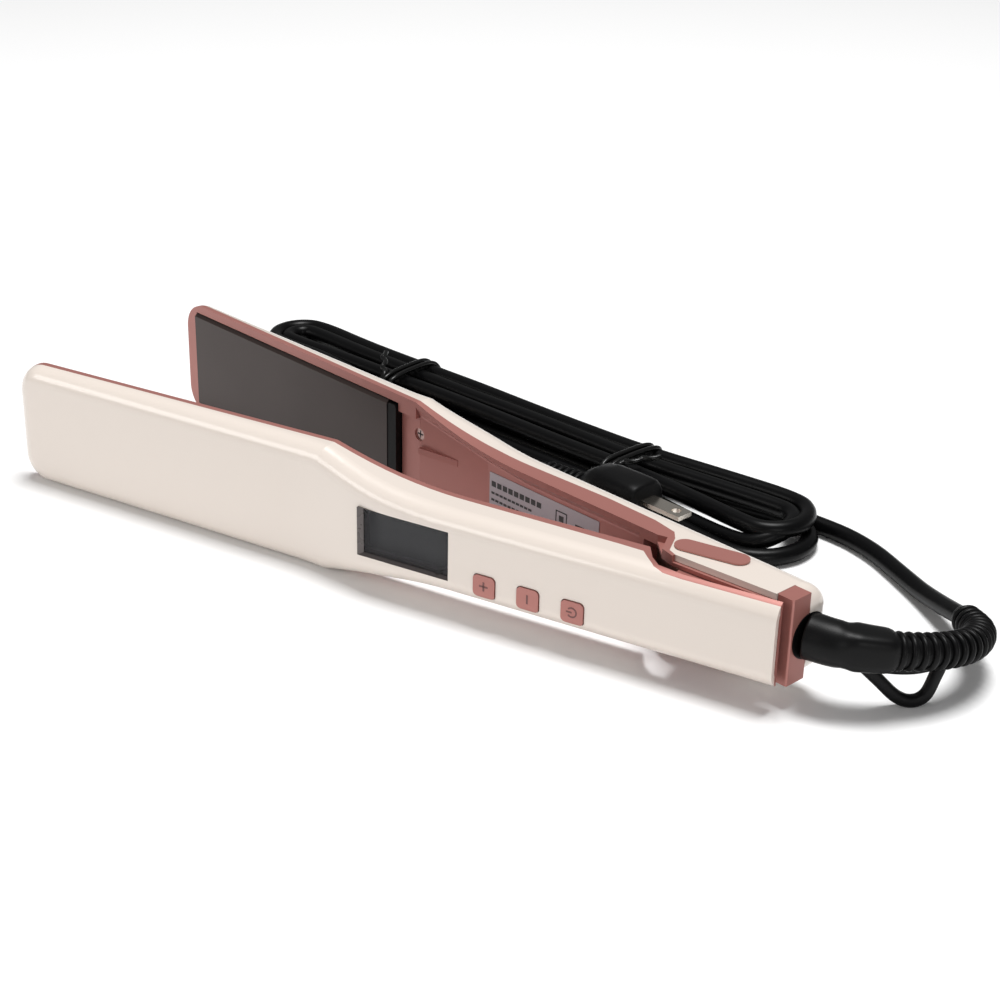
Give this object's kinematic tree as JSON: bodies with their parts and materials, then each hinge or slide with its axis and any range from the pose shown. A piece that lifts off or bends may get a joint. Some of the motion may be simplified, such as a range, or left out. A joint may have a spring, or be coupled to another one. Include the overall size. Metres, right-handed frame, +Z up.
{
  "type": "hair straightening iron",
  "caption": "Hair straightening iron with hinged arms, floating heating plates, display, push buttons and a mains cord tied in a hank.",
  "frame": {"origin": "centre of the open iron's footprint without its cord, on the surface it lies on", "axes": "+X from the tips towards the cord outlet along the lower arm, +Y towards the lower arm's back, +Z up along the hinge pin"},
  "size_m": [0.3502, 0.1811, 0.043],
  "materials": {
    "shell_ivory": "smooth gloss",
    "trim_rose": "satin rose-gold lacquer on plastic",
    "case_screw": "bright plated",
    "label_film": "matt film",
    "spring_steel": "bright",
    "circuit_board": "solder mask",
    "switch_plastic": "matt",
    "black_rubber": "satin",
    "cord_sheath": "satin PVC",
    "plug_plastic": "satin",
    "plug_blade": "nickel-plated brass",
    "plate_coating": "satin metallic coating on aluminium",
    "plate_insulator": "matt",
    "heater_body": "matt",
    "lens_smoked": "clear smoked",
    "bezel_grey": "satin",
    "display_dark": "gloss"
  },
  "bodies": {
    "lower_arm": {"lower_outer_shell": "shell_ivory", "lower_plate_frame": "trim_rose", "lower_inner_cover": "trim_rose", "rear_end_block": "trim_rose", "lower_case_screw": "case_screw", "rating_label": "label_film", "opening_spring": "spring_steel", "lower_power_board": "circuit_board", "cord_socket": "black_rubber", "strain_relief": "black_rubber", "hang_loop": "black_rubber", "power_cord": "cord_sheath", "plug_lead": "cord_sheath", "cord_hank": "cord_sheath", "mains_plug": "plug_plastic", "twist_tie_rear": "plug_plastic", "twist_tie_front": "plug_plastic", "plug_blades": "plug_blade"},
    "upper_arm": {"upper_outer_shell": "shell_ivory", "upper_plate_frame": "trim_rose", "upper_inner_cover": "trim_rose", "upper_case_screw": "case_screw", "hinge_pin": "spring_steel", "hinge_bush": "switch_plastic", "hinge_cover_top": "trim_rose", "hinge_cover_bottom": "trim_rose", "display_lens": "lens_smoked", "display_bezel": "bezel_grey", "display_panel": "display_dark", "control_board": "circuit_board", "button_switches": "switch_plastic"},
    "lower_plate": {"lower_heating_plate": "plate_coating", "lower_plate_end_strip": "plate_insulator", "lower_heater": "heater_body", "lower_heater_clip": "spring_steel"},
    "upper_plate": {"upper_heating_plate": "plate_coating", "upper_plate_end_strip": "plate_insulator", "upper_heater": "heater_body", "upper_heater_clip": "spring_steel"},
    "plus_button_cap": {"plus_button": "trim_rose"},
    "minus_button_cap": {"minus_button": "trim_rose"},
    "power_button_cap": {"power_button": "trim_rose"}
  },
  "joints": [
    {"name": "arm_hinge", "type": "hinge", "parent": "lower_arm", "child": "upper_arm", "pos_m": [0.0953, 0.00761, 0.02151], "axis": [0, 0, -1], "range_deg": [0, 16.5], "stiffness_Nm_per_rad": 2},
    {"name": "lower_plate_float", "type": "slide", "parent": "lower_arm", "child": "lower_plate", "axis": [0, 1, 0], "range_m": [0, 0.0006], "stiffness_N_per_m": 4000},
    {"name": "upper_plate_float", "type": "slide", "parent": "upper_arm", "child": "upper_plate", "axis": [0.284, -0.9588, 0], "range_m": [0, 0.0006], "stiffness_N_per_m": 4000},
    {"name": "plus_button_press", "type": "slide", "parent": "upper_arm", "child": "plus_button_cap", "axis": [-0.284, 0.9588, 0], "range_m": [0, 0.0006], "stiffness_N_per_m": 1500},
    {"name": "minus_button_press", "type": "slide", "parent": "upper_arm", "child": "minus_button_cap", "axis": [-0.284, 0.9588, 0], "range_m": [0, 0.0006], "stiffness_N_per_m": 1500},
    {"name": "power_button_press", "type": "slide", "parent": "upper_arm", "child": "power_button_cap", "axis": [-0.284, 0.9588, 0], "range_m": [0, 0.0006], "stiffness_N_per_m": 1500}
  ]
}
